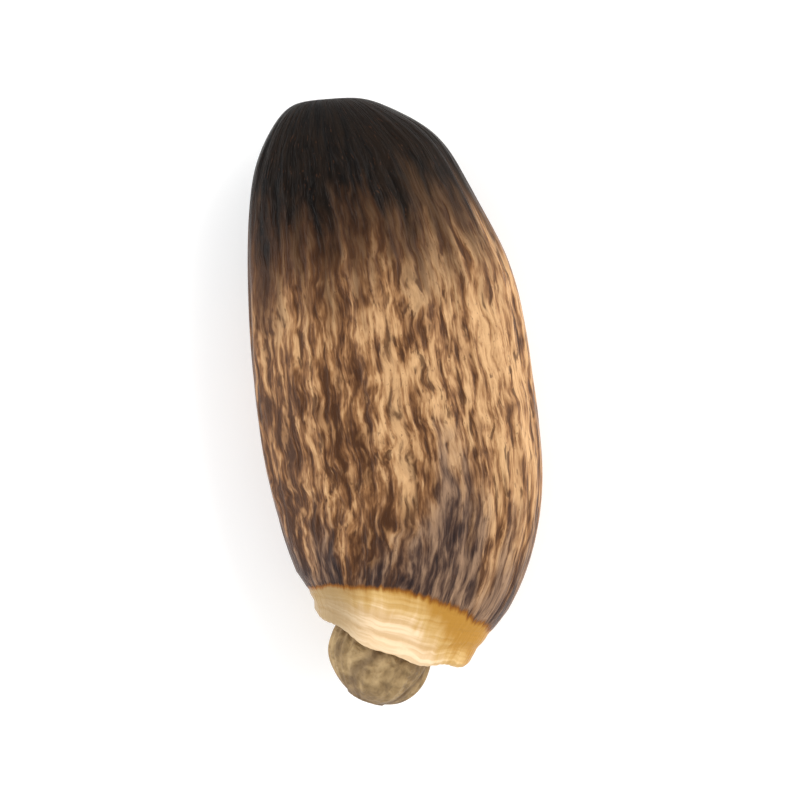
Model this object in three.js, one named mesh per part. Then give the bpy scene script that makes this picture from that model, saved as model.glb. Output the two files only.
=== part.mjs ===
// A milk thistle seed, the small dry fruit of Silybum marianum, lying on its flatter flank.
// It grew as one piece: an oblong body pressed flat, a pale collar round its upper end, and
// the stump of the flower's style standing inside that collar.
//
// Millimetres. +X runs from the rounded base to the collared end, +Y points to the more
// arched edge, and +Z up from the ground. The origin is on the ground, under the middle of
// the seed. "Along" is always the distance from the base tip on the seed's middle line.

import * as THREE from "three";

const degree = Math.PI / 180;

// The body, from the base tip to the edge of the dark skin
const widestAlong = 3.4;
const halfWidth = 1.61;
const halfThickness = 0.9;
const skinEnd = 5.8;
const skinEndHalfWidth = 1.25;
const skinEndHalfThickness = 0.79;
const baseBluntness = 0.72; // under 1 the base is blunter than an ellipse, seen from above
const baseEdgeBluntness = 0.95; // the same, seen from the side
const shoulderFullness = 3; // the higher, the further up the seed stays broad
const shoulderEdgeFullness = 2.4; // the same, seen from the side

// The collar, a short cup of pale gristle that goes on from the skin
const rimAlong = 6.47;
const rimHalfWidth = 0.96;
const rimHalfThickness = 0.7;
const rimFlare = 0.04; // how far the neck below the rim is drawn in
const rimFlareSharpness = 5; // the higher, the nearer to the rim it turns outwards
const rimWall = 0.13;
const rimSetBack = 0.13; // the rim is lower at the two narrow edges of the seed than between
const cupDepth = 0.24;
const cupTaper = 0.07;

// The style stump, a round knob with a small dished scar on its end
const stumpHalfWidth = 0.6;
const stumpFlatness = 0.87;
const stumpEquator = 6.58;
const stumpTip = 7.16;
const stumpRoot = -31 * degree;
const stumpShoulder = 74 * degree;
const stumpBluntness = 0.75;
const stumpShift = 0.03; // it stands off the middle line, towards the arched edge
const scarHalfWidth = 0.15;
const scarDepth = 0.035;

// The section across the seed: 2 is an ellipse, and more is squarer
const bodySquareness = 2.3;
const collarSquareness = 2.7;
const stumpSquareness = 2.1;

// Low relief: one keel down the upper flank, and faint ribs all round
const keelHeight = 0.05;
const keelSpread = 15 * degree;
const ribHeight = 0.014;
const ribCount = 9;

// The hilum, a short slit in the base tip where the seed let go of the flower head
const hilumDepth = 0.12;
const hilumHalfLength = 0.3;
const hilumHalfWidth = 0.12;
const hilumReach = 0.5;

// The middle line: the base tip leans one way, and the upper end bends the same way
const baseLean = 0.22;
const baseLeanReach = 2.2;
const bendStart = 4.2;
const bendRadius = 4.7;
const camber = 0.07; // both ends rise by this much from the ground

// What it lies on: the lowest part of the flank is level, and three points of it, round the
// weight, stand out a little and touch the ground
const levelDepth = 0.065; // how much the level spot takes off the lowest place
const pointHeight = 0.02;
const pointsAt = [
  { x: 1.1, y: 0 },
  { x: -0.55, y: 0.6 },
  { x: -0.55, y: -0.6 },
];

// How finely the surface is drawn: points round the seed, and rings along each stretch
const around = 60;
const rings = { base: 15, shoulder: 11, collar: 5, rim: 4, cup: 2, stump: 8 };

// Each station is one ring of the surface, taken in order from the base tip, over the
// rim, down into the cup and up over the stump to its scar. A ring can be shifted towards
// the arched edge, and set back towards the base at the two narrow edges.
function station(along, wide, thick, squareness, { shift = 0, setBack = 0 } = {}) {
  return { along, wide, thick, squareness, shift, setBack };
}

function steps(count, make) {
  return Array.from({ length: count }, (_, i) => make((i + 1) / count));
}

// Lower end: a quarter of a blunt ellipse, from the tip to the widest place.
function baseStations() {
  return steps(rings.base, (t) => {
    const turn = t * 90 * degree;
    return station(
      widestAlong * (1 - Math.cos(turn)),
      halfWidth * Math.sin(turn) ** baseBluntness,
      halfThickness * Math.sin(turn) ** baseEdgeBluntness,
      bodySquareness,
    );
  });
}

// Upper end: width and thickness fall away slowly at first, then faster.
function shoulderStations() {
  return steps(rings.shoulder, (t) =>
    station(
      THREE.MathUtils.lerp(widestAlong, skinEnd, t),
      THREE.MathUtils.lerp(halfWidth, skinEndHalfWidth, t ** shoulderFullness),
      THREE.MathUtils.lerp(halfThickness, skinEndHalfThickness, t ** shoulderEdgeFullness),
      THREE.MathUtils.lerp(bodySquareness, collarSquareness, t),
    ),
  );
}

// Outside of the collar: it narrows like a cone and flares again close to the rim.
function collarStations() {
  return steps(rings.collar, (t) => {
    const flare = rimFlare * (t ** rimFlareSharpness - t);
    return station(
      THREE.MathUtils.lerp(skinEnd, rimAlong, t),
      THREE.MathUtils.lerp(skinEndHalfWidth, rimHalfWidth, t) + flare,
      THREE.MathUtils.lerp(skinEndHalfThickness, rimHalfThickness, t) + flare,
      collarSquareness,
      { setBack: rimSetBack * t },
    );
  });
}

// The rim is half a circle across its wall. The cup's wall then tapers to its floor.
function cupStations() {
  const round = rimWall / 2;
  const rim = steps(rings.rim, (t) => {
    const turn = t * 180 * degree;
    const inwards = round * (1 - Math.cos(turn));
    return station(
      rimAlong + round * Math.sin(turn),
      rimHalfWidth - inwards,
      rimHalfThickness - inwards,
      collarSquareness,
      { setBack: rimSetBack },
    );
  });
  const wall = steps(rings.cup, (t) =>
    station(
      rimAlong - cupDepth * t,
      rimHalfWidth - rimWall - cupTaper * t,
      rimHalfThickness - rimWall - cupTaper * t,
      collarSquareness,
      { setBack: rimSetBack * (1 - t / 2) },
    ),
  );
  return [...rim, ...wall];
}

// The stump is a blunt ellipse from its root to its shoulder, with a dished scar on top.
function stumpStations() {
  const ring = (along, wide) =>
    station(along, wide, wide * stumpFlatness, stumpSquareness, { shift: stumpShift });
  const turnAt = (t) => THREE.MathUtils.lerp(stumpRoot, stumpShoulder, t);
  const side = [turnAt(0), ...steps(rings.stump, turnAt)].map((turn) =>
    ring(
      stumpEquator + (stumpTip - stumpEquator) * Math.sin(turn),
      stumpHalfWidth * Math.cos(turn) ** stumpBluntness,
    ),
  );
  const scarEdge = ring(stumpTip, scarHalfWidth);
  const scarMiddle = ring(stumpTip - scarDepth, 0);
  return [...side, scarEdge, scarMiddle];
}

// A superellipse: the share of the half width and half thickness at an angle round it.
function sectionAt(angle, squareness) {
  const share = (value) => Math.sign(value) * Math.abs(value) ** (2 / squareness);
  return [share(Math.cos(angle)), share(Math.sin(angle))];
}

// Height of the keel and ribs over the smooth body, fading out at both ends of the skin.
function reliefAt(along, angle) {
  if (along >= skinEnd) return 0;
  const fade = Math.sin((Math.PI * along) / skinEnd);
  const fromTop = angle - 90 * degree;
  const keel = keelHeight * Math.exp(-((fromTop / keelSpread) ** 2));
  return fade * (keel + ribHeight * Math.cos(ribCount * angle));
}

// How far the slit presses the base tip in, at a place across the tip.
function hilumAt(along, y, z) {
  if (along > hilumReach) return 0;
  return hilumDepth * Math.exp(-((y / hilumHalfLength) ** 2) - (z / hilumHalfWidth) ** 2);
}

// The middle line is straight to bendStart, then an arc to the rim, then straight again.
// A place across the seed is carried square to that line.
function placeOnMiddleLine(along, y, z) {
  const onArc = THREE.MathUtils.clamp(along - bendStart, 0, rimAlong - bendStart);
  const turn = onArc / bendRadius;
  const straight = along - onArc;
  const beforeArc = Math.min(straight, bendStart);
  const afterArc = straight - beforeArc;
  const lean = baseLean * Math.max(0, 1 - along / baseLeanReach) ** 2;
  const x = beforeArc + bendRadius * Math.sin(turn) + afterArc * Math.cos(turn);
  const sideways = bendRadius * (1 - Math.cos(turn)) + afterArc * Math.sin(turn) + lean;
  const rise = camber * ((along - widestAlong) / widestAlong) ** 2;
  return new THREE.Vector3(
    x + y * Math.sin(turn),
    y * Math.cos(turn) - sideways,
    z + rise,
  );
}

function surfacePoint({ along, wide, thick, squareness, shift, setBack }, angle) {
  const [across, up] = sectionAt(angle, squareness);
  const y = wide * across;
  const z = thick * up;
  const outwards = thick > 0 ? 1 + reliefAt(along, angle) / Math.hypot(y, z) : 1;
  const moved = hilumAt(along, y, z) - setBack * across ** 2;
  return placeOnMiddleLine(along + moved, y * outwards + shift, z * outwards);
}

// The point of the level spot that is nearest to a place on the ground.
function nearestLevelPoint(position, x, y) {
  let nearest = 0;
  let least = Infinity;
  for (let i = 0; i < position.count; i++) {
    const gap = Math.hypot(position.getX(i) - x, position.getY(i) - y);
    if (position.getZ(i) <= pointHeight && gap < least) {
      nearest = i;
      least = gap;
    }
  }
  return nearest;
}

// Levels the lowest part of the flank and lets its three standing points down to the ground.
function layDown(position) {
  const box = new THREE.Box3().setFromBufferAttribute(position);
  const middle = box.getCenter(new THREE.Vector3());
  const level = box.min.z + levelDepth;
  for (let i = 0; i < position.count; i++) {
    position.setZ(i, Math.max(position.getZ(i) - level, 0) + pointHeight);
  }
  for (const { x, y } of pointsAt) {
    position.setZ(nearestLevelPoint(position, middle.x + x, middle.y + y), 0);
  }
}

// A lathe turned from the stations gives the closed skin of rings. Each of its points is
// then moved to its place on the seed.
function seedGeometry() {
  const stations = [
    station(0, 0, 0, bodySquareness),
    ...baseStations(),
    ...shoulderStations(),
    ...collarStations(),
    ...cupStations(),
    ...stumpStations(),
  ];
  const outline = stations.map(({ along, wide }) => new THREE.Vector2(wide, along));
  const geometry = new THREE.LatheGeometry(outline, around);
  const position = geometry.getAttribute("position");
  for (let i = 0; i < position.count; i++) {
    const meridian = Math.floor(i / stations.length) % around;
    const angle = (meridian / around) * 360 * degree;
    const place = surfacePoint(stations[i % stations.length], angle);
    position.setXYZ(i, place.x, place.y, place.z);
  }
  layDown(position);
  geometry.computeBoundingBox();
  geometry.computeVertexNormals();
  return geometry;
}

function makeSeed() {
  const skin = new THREE.MeshStandardMaterial({
    color: 0x6f4f35,
    roughness: 0.45,
    metalness: 0,
  });
  const seed = new THREE.Mesh(seedGeometry(), skin);
  seed.name = "milk_thistle_seed";
  const middle = seed.geometry.boundingBox.getCenter(new THREE.Vector3());
  seed.position.set(-middle.x, -middle.y, 0);
  return seed;
}

const part = new THREE.Group();
part.add(makeSeed());

export default part;
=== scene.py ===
import bpy
import numpy as np
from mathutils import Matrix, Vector


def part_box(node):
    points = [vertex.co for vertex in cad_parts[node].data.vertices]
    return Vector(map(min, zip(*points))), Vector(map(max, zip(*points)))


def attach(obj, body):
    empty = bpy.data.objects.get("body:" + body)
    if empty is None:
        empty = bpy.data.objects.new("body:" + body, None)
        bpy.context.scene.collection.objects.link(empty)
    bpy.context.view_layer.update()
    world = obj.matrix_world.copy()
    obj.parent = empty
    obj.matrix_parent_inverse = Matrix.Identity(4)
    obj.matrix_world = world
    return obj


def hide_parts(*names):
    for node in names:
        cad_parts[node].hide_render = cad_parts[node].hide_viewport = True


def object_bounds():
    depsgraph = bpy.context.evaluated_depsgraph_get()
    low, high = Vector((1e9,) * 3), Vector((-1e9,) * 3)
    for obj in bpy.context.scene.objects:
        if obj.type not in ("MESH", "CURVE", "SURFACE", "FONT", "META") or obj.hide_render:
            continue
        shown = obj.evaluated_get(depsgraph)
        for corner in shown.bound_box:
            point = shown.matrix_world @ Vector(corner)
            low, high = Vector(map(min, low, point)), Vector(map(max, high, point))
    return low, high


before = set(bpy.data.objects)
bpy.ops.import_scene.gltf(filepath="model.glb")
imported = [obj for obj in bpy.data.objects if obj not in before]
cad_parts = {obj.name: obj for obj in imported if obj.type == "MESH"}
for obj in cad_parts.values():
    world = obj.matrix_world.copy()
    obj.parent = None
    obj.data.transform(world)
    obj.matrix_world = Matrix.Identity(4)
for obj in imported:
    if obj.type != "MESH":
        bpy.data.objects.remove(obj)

cad_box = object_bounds()
MM = 0.001

# Camera
# The photograph looks straight down on the seed, which points down the picture and a little
# to the right. A long lens from a short way up keeps the outline as flat as it is there.
SEED_TURN = np.radians(9.5)
PICTURE_WIDTH = 9.3 * MM
LENS_MM = 150
SENSOR_MM = 36
PICTURE_RIGHT = Vector((np.sin(SEED_TURN), np.cos(SEED_TURN), 0))
PICTURE_UP = Vector((-np.cos(SEED_TURN), np.sin(SEED_TURN), 0))
seed_middle = (Vector(cad_box[0]) + Vector(cad_box[1])) / 2

camera_data = bpy.data.cameras.new("top_camera")
camera_data.lens = LENS_MM
camera_data.sensor_width = SENSOR_MM
camera_data.clip_start = 1 * MM
camera_data.clip_end = 10
camera = bpy.data.objects.new("top_camera", camera_data)
bpy.context.scene.collection.objects.link(camera)
camera.location = seed_middle + Vector((0, 0, PICTURE_WIDTH * LENS_MM / SENSOR_MM))
camera.rotation_euler = (0, 0, np.radians(90) - SEED_TURN)
bpy.context.scene.camera = camera

# The seed
# A hard, thin coat grown shut round its kernel, with a collar of gristle at the upper end and
# the stump of the flower's style in it. It is one closed skin of rings, from the base tip over
# the body and the collar's rim, down into the cup and up over the stump.

# The body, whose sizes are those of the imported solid. "Along" is always the distance in
# millimetres from the base tip on the seed's middle line.
WIDEST_ALONG = 3.4
HALF_WIDTH = 1.61
HALF_THICKNESS = 0.9
BASE_BLUNTNESS = 0.72  # under 1 the base is blunter than an ellipse, seen from above
BASE_EDGE_BLUNTNESS = 0.95  # the same, seen from the side
SKIN_END = 5.8
SKIN_END_HALF_WIDTH = 1.25
SKIN_END_HALF_THICKNESS = 0.79
SHOULDER_FULLNESS = 3  # the higher, the further up the seed stays broad
SHOULDER_EDGE_FULLNESS = 2.4

# The collar and the cup in it
RIM_ALONG = 6.47
RIM_HALF_WIDTH = 0.96
RIM_HALF_THICKNESS = 0.7
RIM_WALL = 0.13
RIM_SET_BACK = 0.13
RIM_FLARE = 0.04
RIM_FLARE_SHARPNESS = 5  # the higher, the nearer to the rim it turns outwards
CUP_DEPTH = 0.24
CUP_TAPER = 0.07

# The style stump and the scar on its end. It stands off the middle line by STUMP_SHIFT in the
# solid, and by STUMP_SHIFT_SEEN here.
STUMP_HALF_WIDTH = 0.6
STUMP_FLATNESS = 0.87
STUMP_EQUATOR = 6.58
STUMP_TIP = 7.16
STUMP_ROOT = np.radians(-31)
STUMP_SHOULDER = np.radians(74)
STUMP_BLUNTNESS = 0.75
STUMP_SHIFT = 0.03
STUMP_SHIFT_SEEN = -0.07
SCAR_HALF_WIDTH = 0.15
SCAR_DEPTH = 0.05

# The section across the seed: 2 is an ellipse, and more is squarer
BODY_SQUARENESS = 2.3
COLLAR_SQUARENESS = 2.7
STUMP_SQUARENESS = 2.1

# The middle line, and the level spot with the three low points that the seed stands on
BEND_START = 4.2
BEND_RADIUS = 4.7
BASE_LEAN = 0.22
BASE_LEAN_REACH = 2.2
CAMBER = 0.07
LEVEL_DEPTH = 0.065
POINT_HEIGHT = 0.02
POINT_REACH = 0.12
POINTS_AT = ((1.127, -0.041), (-0.537, 0.567), (-0.537, -0.589))

# How finely the skin is drawn: points round the seed, and rings along each stretch
AROUND = 384
BASE_RINGS = 92
SHOULDER_RINGS = 66
COLLAR_RINGS = 22
RIM_RINGS = 10
CUP_RINGS = 9
CUP_FLOOR_RINGS = 4
STUMP_RINGS = 39
SCAR_RINGS = 11


def steps(count):
    """Shares of a stretch: count even steps from just above 0 to 1."""
    return np.arange(1, count + 1) / count


def lerp(a, b, t):
    """a at t = 0, b at t = 1, and straight between them."""
    return a + (b - a) * t


def stretch(along, wide, thick, squareness, shift=0.0, set_back=0.0):
    """One stretch of rings as a table of six columns, each a value or one value a ring."""
    return np.stack(np.broadcast_arrays(along, wide, thick, squareness, shift, set_back), 1)


def rings_of_seed():
    """The rings from the base tip to the scar on the stump. The base is a quarter of a blunt
    ellipse. The shoulder narrows by a power of the way along. The collar is a cone that
    flares at its end, its rim half a circle, and the stump an ellipse with blunt flanks."""
    turn = steps(BASE_RINGS) * np.pi / 2
    base = stretch(
        WIDEST_ALONG * (1 - np.cos(turn)),
        HALF_WIDTH * np.sin(turn) ** BASE_BLUNTNESS,
        HALF_THICKNESS * np.sin(turn) ** BASE_EDGE_BLUNTNESS,
        BODY_SQUARENESS,
    )
    t = steps(SHOULDER_RINGS)
    shoulder = stretch(
        lerp(WIDEST_ALONG, SKIN_END, t),
        lerp(HALF_WIDTH, SKIN_END_HALF_WIDTH, t**SHOULDER_FULLNESS),
        lerp(HALF_THICKNESS, SKIN_END_HALF_THICKNESS, t**SHOULDER_EDGE_FULLNESS),
        lerp(BODY_SQUARENESS, COLLAR_SQUARENESS, t),
    )
    t = steps(COLLAR_RINGS)
    flare = RIM_FLARE * (t**RIM_FLARE_SHARPNESS - t)
    collar = stretch(
        lerp(SKIN_END, RIM_ALONG, t),
        lerp(SKIN_END_HALF_WIDTH, RIM_HALF_WIDTH, t) + flare,
        lerp(SKIN_END_HALF_THICKNESS, RIM_HALF_THICKNESS, t) + flare,
        COLLAR_SQUARENESS,
        set_back=RIM_SET_BACK * t,
    )
    turn = steps(RIM_RINGS) * np.pi
    inwards = RIM_WALL / 2 * (1 - np.cos(turn))
    rim = stretch(
        RIM_ALONG + RIM_WALL / 2 * np.sin(turn),
        RIM_HALF_WIDTH - inwards,
        RIM_HALF_THICKNESS - inwards,
        COLLAR_SQUARENESS,
        set_back=RIM_SET_BACK,
    )
    t = steps(CUP_RINGS)
    cup = stretch(
        RIM_ALONG - CUP_DEPTH * t,
        RIM_HALF_WIDTH - RIM_WALL - CUP_TAPER * t,
        RIM_HALF_THICKNESS - RIM_WALL - CUP_TAPER * t,
        COLLAR_SQUARENESS,
        set_back=RIM_SET_BACK * (1 - t / 2),
    )
    turn = np.linspace(STUMP_ROOT, STUMP_SHOULDER, STUMP_RINGS)
    stump_wide = STUMP_HALF_WIDTH * np.cos(turn) ** STUMP_BLUNTNESS
    stump = stretch(
        STUMP_EQUATOR + (STUMP_TIP - STUMP_EQUATOR) * np.sin(turn),
        stump_wide,
        stump_wide * STUMP_FLATNESS,
        STUMP_SQUARENESS,
        shift=STUMP_SHIFT,
    )
    t = steps(CUP_FLOOR_RINGS + 1)[:-1, None]
    cup_floor = lerp(cup[-1], stump[0], t)
    scar_wide = lerp(stump_wide[-1], 0, steps(SCAR_RINGS + 1)[:-1])
    scar = stretch(
        STUMP_TIP - SCAR_DEPTH * np.clip(1 - scar_wide / SCAR_HALF_WIDTH, 0, 1) ** 0.5,
        scar_wide,
        scar_wide * STUMP_FLATNESS,
        STUMP_SQUARENESS,
        shift=STUMP_SHIFT,
    )
    return [base, shoulder, collar, rim, cup, cup_floor, stump, scar]


def section(angle, squareness):
    """A superellipse: the share of the half width and of the half thickness at an angle, each
    the cosine or sine to the power of two over the squareness, with its sign kept."""
    across, up = np.cos(angle), np.sin(angle)
    power = 2 / squareness
    return np.sign(across) * np.abs(across) ** power, np.sign(up) * np.abs(up) ** power


def bell(distance, reach):
    """1 at no distance, falling off on both sides: e to the minus square of distance over
    reach."""
    return np.exp(-((distance / reach) ** 2))


def waves(angle, along, low, high, count, drift, rng):
    """A sum of cosine waves round the seed, between low and high whole waves a turn, whose
    crests wander sideways along it by up to drift radians a millimetre. About -1 to 1."""
    total = 0
    for number in rng.integers(low, high + 1, count):
        phase, wander = rng.uniform(0, 2 * np.pi), rng.uniform(-drift, drift)
        total = total + np.cos(number * angle + phase + wander * along)
    return total / np.sqrt(count)


def smooth(low, high, value):
    """0 below low, 1 above high, and an S-curve between them."""
    t = np.clip((value - low) / (high - low), 0, 1)
    return t * t * (3 - 2 * t)


def on_middle_line(along, y, z):
    """Carries a place across the seed to its place in space. The middle line is straight,
    then an arc of BEND_RADIUS up to the rim, then straight again, and places are square to
    it. The base tip leans by a parabola, and both ends rise by another."""
    on_arc = np.clip(along - BEND_START, 0, RIM_ALONG - BEND_START)
    turn = on_arc / BEND_RADIUS
    before = np.minimum(along - on_arc, BEND_START)
    after = along - on_arc - before
    lean = BASE_LEAN * np.maximum(0, 1 - along / BASE_LEAN_REACH) ** 2
    sideways = BEND_RADIUS * (1 - np.cos(turn)) + after * np.sin(turn) + lean
    x = before + BEND_RADIUS * np.sin(turn) + after * np.cos(turn) + y * np.sin(turn)
    rise = CAMBER * ((along - WIDEST_ALONG) / WIDEST_ALONG) ** 2
    return np.stack([x, y * np.cos(turn) - sideways, z + rise], -1)


stretches = rings_of_seed()
ring_counts = [len(part) for part in stretches]
along, wide, thick, squareness, shift, set_back = (
    column[:, None] for column in np.concatenate(stretches).T
)
angle = np.arange(AROUND)[None] / AROUND * 2 * np.pi
rng = np.random.default_rng(11)


def even_turn(angle, squareness):
    """The share of the way round the widest section at each angle, as a turn from 0 to two
    pi, and the radius of a circle that is as long as that section."""
    fine = np.linspace(0, 2 * np.pi, 40 * AROUND + 1)
    side, top = section(fine, squareness)
    way = np.hypot(np.diff(HALF_WIDTH * side), np.diff(HALF_THICKNESS * top))
    way = np.append(0, np.cumsum(way))
    return np.interp(angle, fine, way / way[-1] * 2 * np.pi), way[-1] / (2 * np.pi)


turn_round, grain_radius = even_turn(angle, BODY_SQUARENESS)
ring_kind = np.repeat(np.arange(len(stretches)), ring_counts)[:, None]
BASE, SHOULDER, COLLAR, RIM, CUP, CUP_FLOOR, STUMP, SCAR = range(8)
on_skin = ring_kind <= SHOULDER
on_collar = (ring_kind == COLLAR) | (ring_kind == RIM)
on_stump = ring_kind >= STUMP
across, up = section(angle, squareness)

# Relief of the skin: the keel and ribs of the solid, wandering ridges and shallow dents
KEEL_HEIGHT = 0.05
KEEL_SPREAD = np.radians(15)
RIB_HEIGHT = 0.014
RIB_COUNT = 9
RIDGE_HEIGHT = 0.008
FINE_RIDGE_HEIGHT = 0.0022
DENT_DEPTH = 0.011
fade = np.sin(np.pi * np.clip(along / SKIN_END, 0, 1))
keel = KEEL_HEIGHT * bell(angle - np.pi / 2, KEEL_SPREAD)
plain_relief = fade * (keel + RIB_HEIGHT * np.cos(RIB_COUNT * angle))
past_tip = smooth(0.0, 0.7, along)
before_skin_end = 1 - smooth(SKIN_END - 0.25, SKIN_END, along)
ridges = RIDGE_HEIGHT * waves(turn_round, along, 17, 40, 14, 2.6, rng)
fine_ridges = FINE_RIDGE_HEIGHT * waves(turn_round, along, 52, 96, 16, 7, rng)
dents = DENT_DEPTH * waves(turn_round, along, 1, 5, 10, 1.8, rng)
fine_relief = past_tip * (ridges + fine_ridges) * lerp(0.4, 1, before_skin_end)
fine_relief = fine_relief + fade * dents

# Relief of the collar: fibres that run up to a slightly uneven rim, lumpy walls, and two
# shallow grooves that run round it
FIBRE_HEIGHT = 0.001
LUMP_HEIGHT = 0.009
GROOVES_AT = (0.5, 0.8)  # shares of the way up the collar
GROOVE_DEPTH = 0.012
GROOVE_HALF_WIDTH = 0.07
GROOVE_WAVE = 0.03
RIM_DROP = 0.07  # on the straighter side
RIM_WAVE = 0.018
RIM_FRAYING = 0.003
collar_share = np.clip((along - SKIN_END) / (RIM_ALONG - SKIN_END), 0, 1)
fibres = FIBRE_HEIGHT * waves(turn_round, along, 60, 120, 18, 3, rng)
lumps = LUMP_HEIGHT * waves(turn_round, along, 2, 9, 9, 2, rng)
wave = GROOVE_WAVE * waves(turn_round, 0, 2, 7, 6, 0, rng)
grooves = sum(bell(collar_share - place + wave, GROOVE_HALF_WIDTH) for place in GROOVES_AT)
collar_relief = fibres + lumps * collar_share - GROOVE_DEPTH * grooves
rim_raggedness = RIM_WAVE * waves(turn_round, 0, 2, 11, 10, 0, rng)
rim_raggedness = rim_raggedness + RIM_FRAYING * waves(turn_round, 0, 30, 80, 12, 0, rng)
rim_drop = RIM_DROP * smooth(0.1, 0.9, -across)

# Relief of the stump: lobes with narrow folds between them, pleats and a pitted surface
LOBE_COUNT = 5
LOBE_HEIGHT = 0.045
PLEAT_HEIGHT = 0.011
PIT_DEPTH = 0.004
lobe_turn = LOBE_COUNT / 2 * angle + 0.5 * np.sin(angle + 1) + 0.4 * np.sin(along * 7)
lobes = np.abs(np.cos(lobe_turn)) ** 0.5
pleats = PLEAT_HEIGHT * waves(angle, along, 14, 34, 12, 5, rng)
pits = PIT_DEPTH * waves(angle, along * 9, 8, 26, 20, 1.0, rng)
stump_relief = smooth(0.08, 0.4, wide) * (LOBE_HEIGHT * (lobes - 0.8) + pleats + pits)

relief = np.where(on_skin, fine_relief, np.where(on_stump, stump_relief, collar_relief))

# The hilum: a dent across the base tip where the seed let go, with a narrow slit in it
HILUM_DEPTH = 0.12
HILUM_HALF_LENGTH = 0.26
HILUM_HALF_WIDTH = 0.07
SLIT_DEPTH = 0.05
SLIT_HALF_LENGTH = 0.2
SLIT_HALF_WIDTH = 0.035
y = wide * across
z = thick * up
hilum = (ring_kind == BASE) * bell(y, HILUM_HALF_LENGTH) * bell(z, HILUM_HALF_WIDTH)
slit = (ring_kind == BASE) * bell(y, SLIT_HALF_LENGTH) * bell(z, SLIT_HALF_WIDTH)

# The end of the base is narrower and rounder than the solid's, and slants a little. Beside
# it the arched edge is flatter, and the upper half lies a little to the straighter side.
TIP_SLANT = 0.08
TIP_SLANT_REACH = 0.35
TIP_ROUNDING = 0.04
TIP_ROUNDING_REACH = 0.27
TIP_NARROWING = 0.125
TIP_NARROWING_REACH = 0.35
EDGE_FLATTENING = 0.09
EDGE_FLATTENING_AT = 1.4
EDGE_FLATTENING_REACH = 0.65
UPPER_HALF_SHIFT = 0.055
slant = TIP_SLANT * y * bell(along, TIP_SLANT_REACH)
slant = slant - TIP_ROUNDING * bell(along, TIP_ROUNDING_REACH)
narrower = 1 - TIP_NARROWING * bell(along, TIP_NARROWING_REACH)
flattening = bell(along - EDGE_FLATTENING_AT, EDGE_FLATTENING_REACH)
flattening = EDGE_FLATTENING * np.clip(across, 0, 1) ** 2 * flattening
sideways = UPPER_HALF_SHIFT * smooth(1.8, 3.8, along)

# The end of the stump slopes away on the straighter side
STUMP_SLOPE = 0.1
slope = STUMP_SLOPE * smooth(0, 0.5, -y) * smooth(STUMP_EQUATOR - 0.1, STUMP_TIP, along)

# The plain skin is the solid's, and gives the place of the dressed one. "Outwards" is how far
# relief pushes a point out, as a share of its distance from the middle line, and "moved" is
# how far a point goes along that line.
radius = np.maximum(np.hypot(y, z), 1e-6)
plain_outwards = 1 + on_skin * plain_relief / radius
plain_moved = HILUM_DEPTH * hilum - set_back * across**2
plain = on_middle_line(along + plain_moved, y * plain_outwards + shift, z * plain_outwards)
outwards = 1 + (on_skin * plain_relief + relief) / radius
moved = plain_moved + SLIT_DEPTH * slit + slant - on_stump * slope
moved = moved + collar_share * (ring_kind <= CUP) * (rim_raggedness - rim_drop)
y_seen = y * narrower * outwards - flattening - sideways
y_seen = y_seen + shift * STUMP_SHIFT_SEEN / STUMP_SHIFT
skin = on_middle_line(along + moved, y_seen, z * outwards)

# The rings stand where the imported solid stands: its box gives their middle. The lowest part
# of the flank is level, but for three low points that touch the ground.
box_low, box_high = (np.array(corner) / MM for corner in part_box("milk_thistle_seed"))
offset = (box_low + box_high) / 2 - (plain.min((0, 1)) + plain.max((0, 1))) / 2
offset[2] = POINT_HEIGHT - (plain[..., 2].min() + LEVEL_DEPTH)
skin = skin + offset
level = np.full(skin.shape[:2], POINT_HEIGHT)
for x, y_there in POINTS_AT:
    off_point = np.hypot(skin[..., 0] - x, skin[..., 1] - y_there)
    level = level - POINT_HEIGHT * bell(off_point, POINT_REACH)
skin[..., 2] = np.maximum(skin[..., 2], level)

# The two points that close the skin: the middle of the hilum and the middle of the scar
poles = on_middle_line(
    np.array([HILUM_DEPTH + SLIT_DEPTH - TIP_ROUNDING, STUMP_TIP - SCAR_DEPTH]),
    np.array([0, STUMP_SHIFT_SEEN - UPPER_HALF_SHIFT]),
    np.zeros(2),
)
points = np.concatenate([skin.reshape(-1, 3), poles + offset])


def ring_faces(rings, columns):
    """Quads between each ring and the next, turned so that they face outwards, with a fan
    of triangles to one point before the first ring and to another after the last."""
    ring = np.arange(rings - 1)[:, None] * columns
    here = np.arange(columns)
    after = (here + 1) % columns
    quads = [ring + after, ring + columns + after, ring + columns + here, ring + here]
    last_ring = (rings - 1) * columns
    first_point, last_point = rings * columns, rings * columns + 1
    first_fan = np.stack([after, here, np.full(columns, first_point)], -1)
    last_fan = np.stack([last_ring + here, last_ring + after, np.full(columns, last_point)], -1)
    return np.stack(quads, -1).reshape(-1, 4), np.concatenate([first_fan, last_fan])


quads, fans = ring_faces(len(along), AROUND)
mesh = bpy.data.meshes.new("thistle_seed")
mesh.from_pydata((points * MM).tolist(), [], quads.tolist() + fans.tolist())
mesh.polygons.foreach_set("use_smooth", np.ones(len(mesh.polygons), bool))
mesh.update()
seed = bpy.data.objects.new("thistle_seed", mesh)
bpy.context.scene.collection.objects.link(seed)


def store(name, kind, field, values):
    """Writes one value a point on the mesh, under a name that the materials read."""
    layer = mesh.attributes.new(name, kind, "POINT")
    layer.data.foreach_set(field, np.ascontiguousarray(values, np.float32).ravel())


def store_number(name, on_rings, at_hilum, at_scar):
    """Writes a number for each point of the rings, and one for each of the two that close
    the skin."""
    numbers = np.broadcast_to(on_rings, skin.shape[:2]).ravel()
    store(name, "FLOAT", "value", np.append(numbers, [at_hilum, at_scar]))


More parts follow.
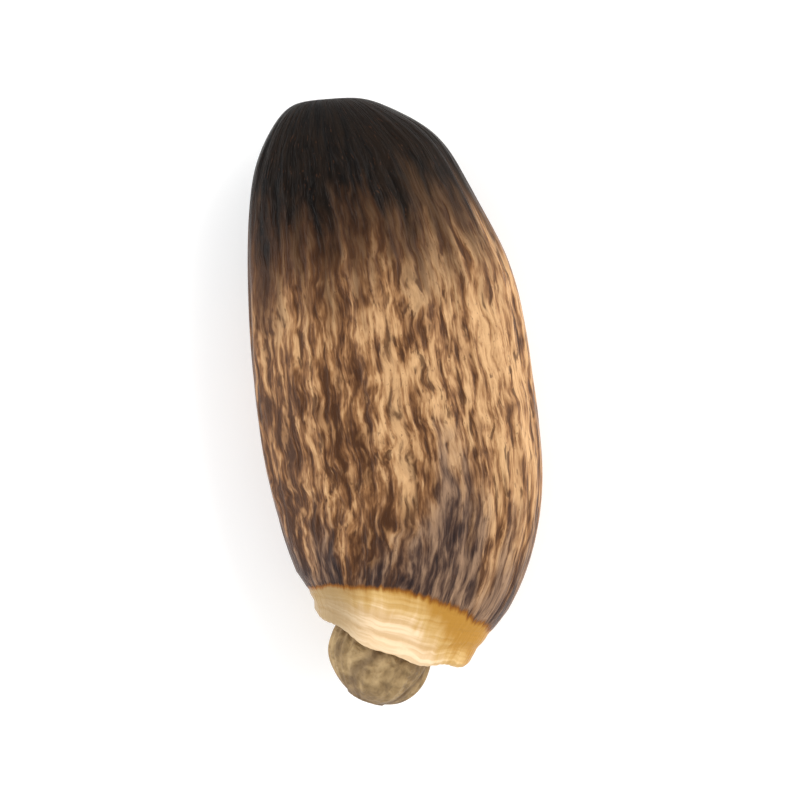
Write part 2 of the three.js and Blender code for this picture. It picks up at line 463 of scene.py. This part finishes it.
# Grain coordinates in millimetres: round a cylinder as wide as the seed, and along it
side, top = grain_radius * np.cos(turn_round), grain_radius * np.sin(turn_round)
grain = np.stack(np.broadcast_arrays(side, top, along), -1).reshape(-1, 3)
grain_of_poles = [[0, 0, 0], [0, 0, STUMP_TIP]]
store("grain", "FLOAT_VECTOR", "vector", np.concatenate([grain, grain_of_poles]))

# Distance past the skin's edge: it lies nearer the base in the middle of each flank
EDGE_PAST_SKIN_END = 0.27  # at the narrow sides
EDGE_WAVE = 0.29
EDGE_UNEVENNESS = 0.02
skin_edge = SKIN_END + EDGE_PAST_SKIN_END - EDGE_WAVE * np.sin(angle) ** 2
skin_edge = skin_edge + EDGE_UNEVENNESS * waves(angle, 0, 3, 12, 8, 0, rng)
past_edge = np.where(ring_kind <= COLLAR, along - skin_edge, RIM_ALONG - skin_edge)
store_number("past_edge", past_edge, -5, 1)

# Depth in the cup: 0 outside the rim, 1 at its floor and on the root of the stump
down_cup = (RIM_ALONG - along) / CUP_DEPTH
in_cup = np.where(ring_kind == CUP, down_cup, (ring_kind >= CUP_FLOOR) * 1.0)
out_of_cup = smooth(STUMP_EQUATOR - 0.32, STUMP_EQUATOR + 0.05, along)
store_number("in_cup", np.where(on_stump, 1 - out_of_cup, in_cup), 0, 0)

# How far a place is off the keel of the upper flank, in millimetres
store_number("off_keel", np.abs(turn_round - np.pi / 2) * grain_radius, 0, 0)

# The grooves of the collar, the folds of the stump and the hilum, 1 in the middle of one
store_number("groove", np.where(on_collar, grooves, on_stump * (1 - lobes) + hilum), 1, 0)

quad_kind = np.broadcast_to(ring_kind[1:], (len(along) - 1, AROUND)).ravel()
fan_kind = np.repeat([BASE, SCAR], AROUND)
is_stump = (np.concatenate([quad_kind, fan_kind]) >= STUMP).astype(np.int32)
mesh.polygons.foreach_set("material_index", is_stump)

# The seed coat
# A thin, hard, slightly waxy skin. Its pigment lies in short streaks that follow the fibres,
# dark brown to tan, nearly black at the base and greyer at the shoulder, and gives way to
# the cream gristle of the collar over an amber line.


def colour(red, green, blue):
    """A colour as seen on a screen, 0 to 255, turned to the linear one that shaders use."""
    screen = np.array([red, green, blue]) / 255
    linear = np.where(screen <= 0.04045, screen / 12.92, ((screen + 0.055) / 1.055) ** 2.4)
    return (*map(float, linear), 1.0)


def put(tree, kind, inputs=None, **settings):
    """Adds a shader node. An input that is a socket is linked, any other is set."""
    made = tree.nodes.new(kind)
    for name, value in settings.items():
        setattr(made, name, value)
    for name, value in (inputs or {}).items():
        if isinstance(value, bpy.types.NodeSocket):
            tree.links.new(value, made.inputs[name])
        else:
            made.inputs[name].default_value = value
    return made


def math(tree, operation, first, second=0.0):
    """The result of one sum on two values or sockets."""
    return put(tree, "ShaderNodeMath", {0: first, 1: second}, operation=operation).outputs[0]


def between(tree, value, low, high, to_low=0.0, to_high=1.0):
    """An S-curve from to_low, where the value is low, to to_high, where it is high."""
    ends = {"From Min": low, "From Max": high, "To Min": to_low, "To Max": to_high}
    inputs = {"Value": value, **ends}
    return put(tree, "ShaderNodeMapRange", inputs, interpolation_type="SMOOTHSTEP").outputs[0]


def blend(tree, share, first, second):
    """The colour between two colours, by a share of the second. The node keeps its inputs
    for colours at 6 and 7."""
    inputs = {0: share, 6: first, 7: second}
    return put(tree, "ShaderNodeMix", inputs, data_type="RGBA").outputs[2]


def ramp(tree, value, *stops):
    """A colour ramp through the stops, each a place from 0 to 1 and a colour."""
    made = put(tree, "ShaderNodeValToRGB", {"Fac": value})
    made.color_ramp.interpolation = "B_SPLINE"
    elements = made.color_ramp.elements
    while len(elements) < len(stops):
        elements.new(1)
    for element, (place, stop_colour) in zip(elements, stops):
        element.position = place
        element.color = stop_colour
    return made.outputs["Color"]


def attribute(tree, name, output="Fac"):
    """A value stored on the mesh."""
    return put(tree, "ShaderNodeAttribute", attribute_name=name).outputs[output]


def vector_sum(tree, operation, inputs):
    """The vector that comes of one sum on vectors."""
    return put(tree, "ShaderNodeVectorMath", inputs, operation=operation).outputs[0]


WANDER_SCALE = (3.1, 3.1, 2.3)  # bends a millimetre, twice across the grain and along it


def fibre_group():
    """Noise drawn out along the fibres. Its lines wander sideways, so that the streaks are
    crooked, and it gives a value of about 0.3 to 0.7."""
    tree = bpy.data.node_groups.new("fibre", "ShaderNodeTree")
    tree.interface.new_socket("Grain", in_out="INPUT", socket_type="NodeSocketVector")
    for name in ("Across", "Along", "Wander", "Detail"):
        tree.interface.new_socket(name, in_out="INPUT", socket_type="NodeSocketFloat")
    tree.interface.new_socket("Value", in_out="OUTPUT", socket_type="NodeSocketFloat")
    given = tree.nodes.new("NodeGroupInput").outputs
    slow = vector_sum(tree, "MULTIPLY", {0: given["Grain"], 1: WANDER_SCALE})
    drift = put(tree, "ShaderNodeTexNoise", {"Vector": slow, "Scale": 1, "Detail": 1})
    centred = vector_sum(tree, "SUBTRACT", {0: drift.outputs["Color"], 1: (0.5, 0.5, 0.5)})
    pushed = vector_sum(tree, "SCALE", {0: centred, "Scale": given["Wander"]})
    place = vector_sum(tree, "ADD", {0: given["Grain"], 1: pushed})
    scales = {0: given["Across"], 1: given["Across"], 2: given["Along"]}
    scales = put(tree, "ShaderNodeCombineXYZ", scales).outputs[0]
    drawn = vector_sum(tree, "MULTIPLY", {0: place, 1: scales})
    noise = {"Vector": drawn, "Scale": 1, "Detail": given["Detail"]}
    noise = put(tree, "ShaderNodeTexNoise", noise).outputs["Fac"]
    tree.links.new(noise, tree.nodes.new("NodeGroupOutput").inputs["Value"])
    return tree


fibre = fibre_group()


def fibres_in(tree, grain, across, along, wander, detail):
    """The fibre group in a material: how many streaks a millimetre there are across and
    along, how far they wander in millimetres, and how many finer layers they have."""
    inputs = {"Grain": grain, "Across": across, "Along": along, "Wander": wander, "Detail": detail}
    return put(tree, "ShaderNodeGroup", inputs, node_tree=fibre).outputs["Value"]


def new_material(name):
    """An empty node material and its tree, with a Principled shader on its output."""
    material = bpy.data.materials.new(name)
    material.use_nodes = True
    tree = material.node_tree
    tree.nodes.clear()
    shader = tree.nodes.new("ShaderNodeBsdfPrincipled")
    output = tree.nodes.new("ShaderNodeOutputMaterial")
    tree.links.new(shader.outputs[0], output.inputs["Surface"])
    return material, tree, shader


BLACK_BROWN = colour(5, 3, 2)
BASE_BROWN = colour(24, 15, 8)
DARK_BROWN = colour(68, 42, 25)
BROWN = colour(110, 74, 47)
TAN = colour(152, 109, 70)
PALE_TAN = colour(206, 164, 118)
SLATE_DARK = colour(40, 31, 31)
SLATE_BROWN = colour(80, 61, 53)
GREY_TAN = colour(146, 117, 94)
AMBER = colour(132, 80, 26)
GOLD = colour(174, 127, 54)
CREAM = colour(208, 172, 112)
RIM_CREAM = colour(240, 213, 176)
SHADED_CREAM = colour(146, 122, 86)
CUP_SHADE = colour(128, 94, 58)
COAT_RELIEF = 0.04 * MM

coat, tree, shader = new_material("seed_coat")
grain_at = attribute(tree, "grain", "Vector")
grain_parts = put(tree, "ShaderNodeSeparateXYZ", {0: grain_at}).outputs
side_at, along_at = grain_parts["X"], grain_parts["Z"]
past_edge_at = attribute(tree, "past_edge")
in_cup_at = attribute(tree, "in_cup")
off_keel_at = attribute(tree, "off_keel")
groove_at = attribute(tree, "groove")

# Marks of many sizes, from broad ones to hair-fine ones
blotches = fibres_in(tree, grain_at, 1.6, 0.5, 0.4, 2)
tongues = fibres_in(tree, grain_at, 3.2, 0.25, 0.25, 3)
streaks = fibres_in(tree, grain_at, 7.5, 1.6, 0.2, 4)
dashes = fibres_in(tree, grain_at, 15, 3.4, 0.17, 3)
hairs = fibres_in(tree, grain_at, 38, 4.5, 0.1, 2)
pale_flecks = fibres_in(tree, grain_at, 9.5, 2.6, 0.26, 2)
dark_flecks = fibres_in(tree, grain_at, 10.5, 2.2, 0.24, 2)
specks = fibres_in(tree, grain_at, 30, 14, 0.1, 2)


def weighted(tree, *terms):
    """The sum of values, each with its weight."""
    total = 0.0
    for value, weight in terms:
        inputs = {0: value, 1: weight, 2: total}
        total = put(tree, "ShaderNodeMath", inputs, operation="MULTIPLY_ADD").outputs[0]
    return total


# Pigment: streaks, dashes, fine hairs and blotches, each adding to how pale the coat is. It is
# a little paler on the arched side, partly as pigment and partly as painted light from the
# lamp on the right; paler to the left and right of the keel as painted light on the flanks;
# darker again at the narrow edges as painted shade; and darker towards the collar.
tone = weighted(
    tree,
    (streaks, 0.5),
    (dashes, 0.42),
    (hairs, 0.26),
    (blotches, 0.34),
    # Painted light: paler towards the arched side, which faces the key lamp; partly pigment too
    (between(tree, side_at, -1.3, 1.3), 0.12),
    (1.0, -0.06),
)
off_middle = math(tree, "ABSOLUTE", side_at)
# Painted light: paler on the flanks to the left and right of the keel
tone = math(tree, "ADD", tone, between(tree, off_middle, 0.2, 1.2, 0, 0.075))
# Painted shade: darker at the narrow edges, where the coat turns away from the lamps
tone = math(tree, "SUBTRACT", tone, between(tree, off_middle, 1.0, 1.35, 0, 0.1))
tone = math(tree, "SUBTRACT", tone, between(tree, along_at, 3.0, 5.6, -0.02, 0.03))
tone = between(tree, tone, 0.6, 0.96)
pigment_and_light = ramp(tree, tone, (0.05, DARK_BROWN), (0.34, BROWN), (0.64, TAN), (0.95, PALE_TAN))

# Crooked flecks on it, pale ones and dark ones
pale_share = between(tree, pale_flecks, 0.53, 0.65)
pale_share = math(tree, "MULTIPLY", pale_share, between(tree, dashes, 0.36, 0.56, 0, 0.6))
pigment_and_light = blend(tree, pale_share, pigment_and_light, blend(tree, tone, TAN, PALE_TAN))
dark_share = between(tree, dark_flecks, 0.56, 0.62)
dark_share = math(tree, "MULTIPLY", dark_share, between(tree, dashes, 0.6, 0.44, 0, 0.75))
pigment_and_light = blend(tree, dark_share, pigment_and_light, DARK_BROWN)

# Painted highlight: a pale broken line on the raised keel, in the half towards the collar
keel_highlight = between(tree, off_keel_at, 0.1, 0.03)
keel_highlight = math(tree, "MULTIPLY", keel_highlight, between(tree, along_at, 2.0, 3.2))
keel_highlight = math(tree, "MULTIPLY", keel_highlight, between(tree, along_at, 5.3, 4.4))
keel_highlight = math(tree, "MULTIPLY", keel_highlight, between(tree, dashes, 0.36, 0.56, 0.1, 0.75))
pigment_and_light = blend(tree, keel_highlight, pigment_and_light, PALE_TAN)

# The shoulder is slate brown, and furthest down beside the keel, on the arched side
off_patch = math(tree, "ABSOLUTE", math(tree, "SUBTRACT", side_at, 0.5))
on_patch = between(tree, off_patch, 0.5, 0.1)
shoulder_reach = weighted(tree, (along_at, 1.0), (tongues, 3.6), (streaks, 1.6), (on_patch, 0.7))
shoulder_share = between(tree, shoulder_reach, 7.3, 8.5, 0, 0.92)
shoulder_tone = ramp(tree, tone, (0.1, SLATE_DARK), (0.5, SLATE_BROWN), (0.95, GREY_TAN))
pigment_and_light = blend(tree, shoulder_share, pigment_and_light, shoulder_tone)

# The base is nearly black, and fades through dark brown into the rest
smoke_reach = weighted(tree, (along_at, 1.0), (tongues, -2.2), (streaks, -1.4))
pigment_and_light = blend(tree, between(tree, smoke_reach, 1.0, -0.2, 0, 0.9), pigment_and_light, DARK_BROWN)
base_reach = weighted(tree, (along_at, 1.0), (tongues, -2.4), (streaks, 0.8))
base_share = between(tree, base_reach, 1.3, 0.2, 0, 0.985)
base_tone = ramp(tree, tone, (0.2, BLACK_BROWN), (0.9, BASE_BROWN))
pigment_and_light = blend(tree, base_share, pigment_and_light, base_tone)
pigment_and_light = blend(tree, between(tree, specks, 0.62, 0.74, 0, 0.5), pigment_and_light, DARK_BROWN)

# The lips of the hilum are paler than the skin round it and than its slit
lip_share = between(tree, groove_at, 0.1, 0.5)
lip_share = math(tree, "MULTIPLY", lip_share, between(tree, groove_at, 1.0, 0.75, 0, 0.6))
pigment_and_light = blend(tree, lip_share, pigment_and_light, DARK_BROWN)

# Collar: an amber line at the skin's edge, then gold, then cream up to the rim. The gold
# reaches further on the arched side of the seed, and lies in the grooves. The end on the
# straighter side is dulled with painted shade, and the cup darkens with depth as painted shade.
edge_at = weighted(tree, (past_edge_at, 1.0), (dashes, 0.14), (1.0, -0.07))
collar_hairs = fibres_in(tree, grain_at, 16, 1.2, 0.1, 2)
collar_lines = fibres_in(tree, grain_at, 1.3, 22, 0.1, 2)
golden = weighted(
    tree,
    (edge_at, 1.0),
    (between(tree, side_at, -0.1, 1.4), -0.36),
    (blotches, 0.6),
    (streaks, 0.28),
    (collar_lines, 0.12),
    (1.0, -0.14),
)
gristle_and_shade = blend(tree, between(tree, golden, 0.3, 0.56), GOLD, CREAM)
gristle_and_shade = blend(tree, between(tree, golden, 0.5, 0.78), gristle_and_shade, RIM_CREAM)
gristle_and_shade = blend(tree, between(tree, collar_lines, 0.42, 0.62, 0.3, 0), gristle_and_shade, GOLD)
gristle_and_shade = blend(tree, math(tree, "MULTIPLY", groove_at, 0.3), gristle_and_shade, GOLD)
# Painted shade: the end of the collar on the straighter side is dulled
gristle_and_shade = blend(tree, between(tree, side_at, -0.2, -1.0, 0, 0.8), gristle_and_shade, SHADED_CREAM)
gristle_and_shade = blend(tree, between(tree, edge_at, 0.08, 0.01), gristle_and_shade, AMBER)
# Painted shade: the gristle darkens with depth down into the cup
gristle_and_shade = blend(tree, in_cup_at, gristle_and_shade, CUP_SHADE)
collar_share_at = between(tree, edge_at, -0.03, 0.03)
skin_or_collar = blend(tree, collar_share_at, pigment_and_light, gristle_and_shade)
tree.links.new(skin_or_collar, shader.inputs["Base Color"])

coat_roughness = between(tree, tone, 0.1, 0.9, 0.3, 0.42)
tree.links.new(coat_roughness, shader.inputs["Roughness"])
shader.inputs["Specular IOR Level"].default_value = 0.1

skin_height = weighted(tree, (dashes, 0.5), (hairs, 0.3), (streaks, 0.5), (specks, 0.12))
collar_height = weighted(tree, (collar_hairs, 0.25), (collar_lines, 0.35), (specks, 0.1))
heights = {0: collar_share_at, 2: skin_height, 3: collar_height}
height = put(tree, "ShaderNodeMix", heights).outputs[0]
bump = {"Height": height, "Strength": 1.0, "Distance": COAT_RELIEF}
bump = put(tree, "ShaderNodeBump", bump)
tree.links.new(bump.outputs[0], shader.inputs["Normal"])

# The style stump
# What is left of the flower's style: a dull, corky knob, greyer than the skin, pleated round
# its sides where it dried, with a small dished scar where the style broke off.
CORK_DARK = colour(100, 77, 48)
CORK_BROWN = colour(143, 117, 77)
CORK_PALE = colour(179, 152, 110)
FOLD_SHADE = colour(84, 62, 42)
ROOT_SHADE = colour(104, 76, 48)
SCAR_BROWN = colour(96, 74, 54)
CORK_RELIEF = 0.03 * MM

stump, tree, shader = new_material("style_stump")
grain_at = attribute(tree, "grain", "Vector")
along_at = put(tree, "ShaderNodeSeparateXYZ", {0: grain_at}).outputs["Z"]
in_cup_at = attribute(tree, "in_cup")
place = put(tree, "ShaderNodeTexCoord").outputs["Object"]
in_millimetres = vector_sum(tree, "SCALE", {0: place, "Scale": 1 / MM})
creases = fibres_in(tree, in_millimetres, 3.4, 3.4, 0.3, 4)
corky = fibres_in(tree, in_millimetres, 13, 13, 0.2, 4)
cork = between(tree, weighted(tree, (creases, 0.9), (corky, 0.5)), 0.4, 1.0)
cork_and_shade = ramp(tree, cork, (0.05, CORK_DARK), (0.5, CORK_BROWN), (0.95, CORK_PALE))
# Painted shade in the folds between the stump's lobes
fold_shade_share = between(tree, attribute(tree, "groove"), 0.25, 0.8, 0, 0.6)
cork_and_shade = blend(tree, fold_shade_share, cork_and_shade, FOLD_SHADE)
# Painted shade on the stump's root down in the cup, under the collar's rim
cork_and_shade = blend(tree, math(tree, "MULTIPLY", in_cup_at, 0.7), cork_and_shade, ROOT_SHADE)
cork_and_shade = blend(tree, between(tree, along_at, 7.0, 7.14, 0, 0.5), cork_and_shade, SCAR_BROWN)
tree.links.new(cork_and_shade, shader.inputs["Base Color"])
tree.links.new(between(tree, cork, 0, 1, 0.55, 0.72), shader.inputs["Roughness"])
shader.inputs["Specular IOR Level"].default_value = 0.3
bump = {"Height": cork, "Strength": 1.0, "Distance": CORK_RELIEF}
bump = put(tree, "ShaderNodeBump", bump)
tree.links.new(bump.outputs[0], shader.inputs["Normal"])

mesh.materials.append(coat)
mesh.materials.append(stump)
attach(seed, "root")
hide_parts("milk_thistle_seed")

# Floor and light
# A plain, nearly white ground, and soft lamps as in a studio: the strongest stands at the
# upper right of the picture, a weak one across from it, and pale walls give the rest.
FLOOR_REACH = 0.5
floor_mesh = bpy.data.meshes.new("floor")
corners = np.array([(-1, -1, 0), (1, -1, 0), (1, 1, 0), (-1, 1, 0)]) * FLOOR_REACH
floor_mesh.from_pydata(corners.tolist(), [], [(0, 1, 2, 3)])
floor = bpy.data.objects.new("floor", floor_mesh)
bpy.context.scene.collection.objects.link(floor)
floor_material, tree, shader = new_material("pale_ground")
shader.inputs["Base Color"].default_value = (0.9, 0.9, 0.9, 1)
shader.inputs["Roughness"].default_value = 0.9
shader.inputs["Specular IOR Level"].default_value = 0.1
shader.inputs["Emission Color"].default_value = (1, 1, 1, 1)
shader.inputs["Emission Strength"].default_value = 0.2
floor_mesh.materials.append(floor_material)


def lamp(name, place, size, power, tint):
    """A square soft lamp at a place given along the picture's right, its up and the height,
    turned to face the seed."""
    data = bpy.data.lights.new(name, "AREA")
    data.shape = "SQUARE"
    data.size = size
    data.energy = power
    data.color = tint
    made = bpy.data.objects.new(name, data)
    bpy.context.scene.collection.objects.link(made)
    right, up_picture, height_above = place
    made.location = PICTURE_RIGHT * right + PICTURE_UP * up_picture + Vector((0, 0, height_above))
    towards = seed_middle - made.location
    made.rotation_euler = towards.to_track_quat("-Z", "Y").to_euler()


lamp("key_lamp", (0.1, 0.035, 0.07), 0.13, 0.135, (1.0, 0.98, 0.95))
lamp("fill_lamp", (-0.1, -0.02, 0.05), 0.1, 0.075, (0.96, 0.98, 1.0))

# The walls are brighter than the ceiling
WALL_LIGHT = 1.45
CEILING_LIGHT = 0.5
world = bpy.data.worlds.new("studio")
bpy.context.scene.world = world
world.use_nodes = True
studio = world.node_tree
direction = put(studio, "ShaderNodeTexCoord").outputs["Generated"]
upwards = put(studio, "ShaderNodeSeparateXYZ", {0: direction}).outputs["Z"]
light = {"Value": upwards, "To Min": WALL_LIGHT, "To Max": CEILING_LIGHT}
room_light = put(studio, "ShaderNodeMapRange", light).outputs[0]
background = studio.nodes["Background"]
background.inputs["Color"].default_value = (1, 1, 1, 1)
studio.links.new(room_light, background.inputs["Strength"])
bpy.context.scene.view_settings.view_transform = "Standard"
